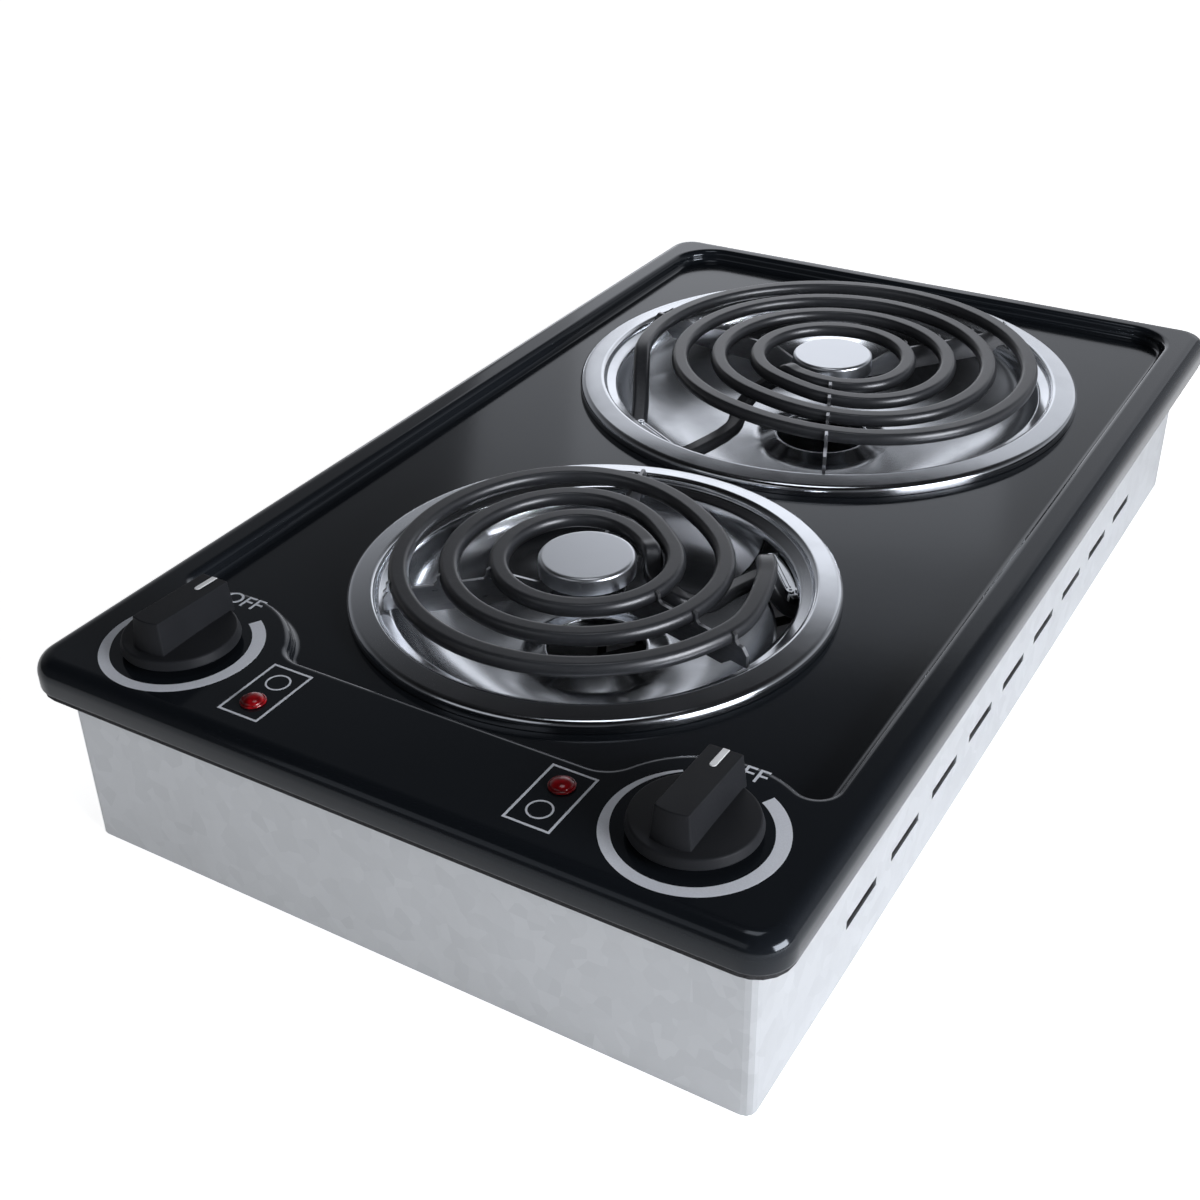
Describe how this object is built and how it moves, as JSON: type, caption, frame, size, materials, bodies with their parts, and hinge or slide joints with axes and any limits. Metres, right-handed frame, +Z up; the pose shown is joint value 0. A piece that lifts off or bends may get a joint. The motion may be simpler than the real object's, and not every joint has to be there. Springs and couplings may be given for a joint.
{
  "type": "electric coil cooktop",
  "caption": "Drop-in electric coil cooktop: a black enamelled sheet panel with coil elements over chrome drip pans, push-to-turn knobs and a burner box below.",
  "frame": {"origin": "middle of the burner box underside", "axes": "+X to the right and -Y towards the user standing at the controls, +Z up"},
  "size_m": [0.305, 0.508, 0.103],
  "materials": {
    "enamel": "glossy",
    "chrome": "polished",
    "sheath": "matte oxidised",
    "steel": "satin",
    "galvanised": "spangled, dull",
    "plastic": "fine texture",
    "white": "satin",
    "red": "glossy",
    "ceramic": "unglazed ceramic, matte",
    "phenolic": "moulded",
    "brass": "satin",
    "foam": "matte",
    "sleeving": "braided"
  },
  "bodies": {
    "cooktop": {"heat_switch_left": "phenolic", "switch_screw_left_a": "steel", "switch_screw_left_b": "steel", "pilot_lens_left": "red", "pilot_lamp_left": "phenolic", "pilot_nut_left": "steel", "heat_switch_right": "phenolic", "switch_screw_right_a": "steel", "switch_screw_right_b": "steel", "pilot_lens_right": "red", "pilot_lamp_right": "phenolic", "pilot_nut_right": "steel", "cooktop_panel": "enamel", "drip_pan_front": "chrome", "receptacle_bracket_front": "galvanised", "drip_pan_rear": "chrome", "receptacle_bracket_rear": "galvanised", "burner_box": "galvanised", "box_nut_1": "steel", "box_nut_2": "steel", "box_nut_3": "steel", "box_nut_4": "steel", "flange_gasket": "foam", "inlet_bushing": "steel", "supply_terminal_block": "ceramic", "lead_front_a": "sleeving", "lead_front_b": "sleeving", "lead_rear_a": "sleeving", "lead_rear_b": "sleeving", "lead_supply_left": "sleeving", "lead_supply_right": "sleeving"},
    "plunger_left": {"plunger_sleeve_left": "brass"},
    "control_left": {"knob_left": "plastic", "knob_pointer_left": "white", "control_shaft_left": "steel"},
    "plunger_right": {"plunger_sleeve_right": "brass"},
    "control_right": {"knob_right": "plastic", "knob_pointer_right": "white", "control_shaft_right": "steel"},
    "receptacle_hinge_front": {"receptacle_front": "ceramic"},
    "element_front": {"coil_front": "sheath", "coil_support_front": "steel", "medallion_front": "chrome", "terminal_clamp_front": "steel", "terminal_pin_front_a": "brass", "terminal_pin_front_b": "brass"},
    "receptacle_hinge_rear": {"receptacle_rear": "ceramic"},
    "element_rear": {"coil_rear": "sheath", "coil_support_rear": "steel", "medallion_rear": "chrome", "terminal_clamp_rear": "steel", "terminal_pin_rear_a": "brass", "terminal_pin_rear_b": "brass"}
  },
  "joints": [
    {"name": "knob_push_left", "type": "slide", "parent": "cooktop", "child": "plunger_left", "axis": [0, 0, -1], "range_m": [0, 0.002], "stiffness_N_per_m": 1500},
    {"name": "knob_turn_left", "type": "hinge", "parent": "plunger_left", "child": "control_left", "pos_m": [-0.106, -0.2175, 0.0842], "axis": [0, 0, 1], "continuous": true},
    {"name": "knob_push_right", "type": "slide", "parent": "cooktop", "child": "plunger_right", "axis": [0, 0, -1], "range_m": [0, 0.002], "stiffness_N_per_m": 1500},
    {"name": "knob_turn_right", "type": "hinge", "parent": "plunger_right", "child": "control_right", "pos_m": [0.106, -0.2175, 0.0842], "axis": [0, 0, 1], "continuous": true},
    {"name": "element_tilt_front", "type": "hinge", "parent": "cooktop", "child": "receptacle_hinge_front", "pos_m": [0.07255, -0.03995, 0.0665], "axis": [-0.6428, 0.766, 0], "range_deg": [0, 20]},
    {"name": "element_pull_front", "type": "slide", "parent": "receptacle_hinge_front", "child": "element_front", "axis": [-0.766, -0.6428, 0], "range_m": [0, 0.022]},
    {"name": "element_tilt_rear", "type": "hinge", "parent": "cooktop", "child": "receptacle_hinge_rear", "pos_m": [-0.05643, 0.01656, 0.0665], "axis": [0.866, -0.5, 0], "range_deg": [0, 20]},
    {"name": "element_pull_rear", "type": "slide", "parent": "receptacle_hinge_rear", "child": "element_rear", "axis": [0.5, 0.866, 0], "range_m": [0, 0.022]}
  ],
  "couplings": [
    {"joint": "element_pull_front", "follows": "element_tilt_front", "m_per_rad": 0.063025},
    {"joint": "element_pull_rear", "follows": "element_tilt_rear", "m_per_rad": 0.063025}
  ]
}
